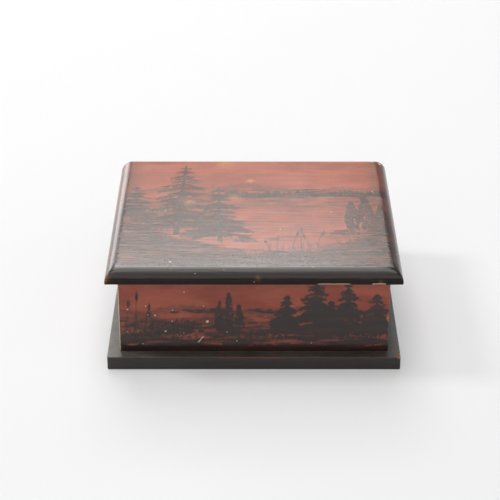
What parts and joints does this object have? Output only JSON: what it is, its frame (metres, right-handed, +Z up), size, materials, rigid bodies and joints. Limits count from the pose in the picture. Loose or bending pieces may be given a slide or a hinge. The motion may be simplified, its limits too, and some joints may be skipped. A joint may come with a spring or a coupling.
{
  "type": "deed box",
  "caption": "Low rectangular wooden box for papers with a moulded overhanging lid on butt hinges, a plain projecting base board and a painted finish.",
  "frame": {"origin": "centre of the base board's underside", "axes": "+X along the front, to the viewer's right when facing the front; +Y from the front towards the hinged back; +Z up"},
  "size_m": [0.26, 0.24, 0.098],
  "materials": {
    "black_painted_wood": "satin black paint, worn at the edges",
    "red_painted_wood": "satin brick red paint with black brushwork",
    "varnished_red_wood": "semi-gloss varnish over brick red and black paint",
    "aged_brass": "dulled",
    "screw_brass": "dulled",
    "iron": "darkened"
  },
  "bodies": {
    "box": {"base_board": "black_painted_wood", "front_board": "red_painted_wood", "back_board": "red_painted_wood", "left_board": "red_painted_wood", "right_board": "red_painted_wood", "corner_brads": "iron", "base_nails": "iron", "left_hinge_box_leaf": "aged_brass", "left_hinge_pin": "iron", "right_hinge_box_leaf": "aged_brass", "right_hinge_pin": "iron", "box_leaf_screws": "screw_brass"},
    "lid": {"lid_board": "varnished_red_wood", "left_hinge_lid_leaf": "aged_brass", "right_hinge_lid_leaf": "aged_brass", "lid_leaf_screws": "screw_brass"}
  },
  "joints": [
    {"name": "lid_hinge", "type": "hinge", "parent": "box", "child": "lid", "pos_m": [0, 0.1115, 0.0855], "axis": [-1, 0, 0], "range_deg": [0, 199]}
  ]
}
